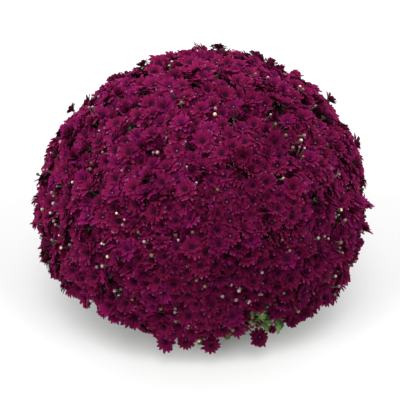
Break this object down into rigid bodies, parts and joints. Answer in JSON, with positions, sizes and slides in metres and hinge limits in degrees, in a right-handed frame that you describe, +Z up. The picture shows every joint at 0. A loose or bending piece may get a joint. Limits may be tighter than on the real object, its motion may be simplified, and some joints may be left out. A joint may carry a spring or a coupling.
{
  "type": "pot chrysanthemum",
  "caption": "Ball-shaped garden chrysanthemum in flower, in a plain nursery pot that its lowest blooms hide.",
  "frame": {"origin": "centre of the pot's flat base, on the surface that it stands on", "axes": "+Z up along the pot's axis, -Y towards the side that the picture shows"},
  "size_m": [0.527, 0.5274, 0.443],
  "materials": {
    "petals": "matte",
    "leaves": "matte",
    "bark": "matte",
    "compost": "matte",
    "pot_plastic": "satin"
  },
  "bodies": {
    "root": {"pot": "pot_plastic", "compost": "compost", "woody_branches": "bark", "leaf_canopy": "leaves", "spray_crown": "petals", "spray_upper_1": "petals", "spray_upper_2": "petals", "spray_upper_3": "petals", "spray_upper_4": "petals", "spray_upper_5": "petals", "spray_lower_1": "petals", "spray_lower_2": "petals", "spray_lower_3": "petals", "spray_lower_4": "petals", "spray_lower_5": "petals", "spray_lower_6": "petals", "spray_lower_7": "petals"}
  },
  "joints": []
}
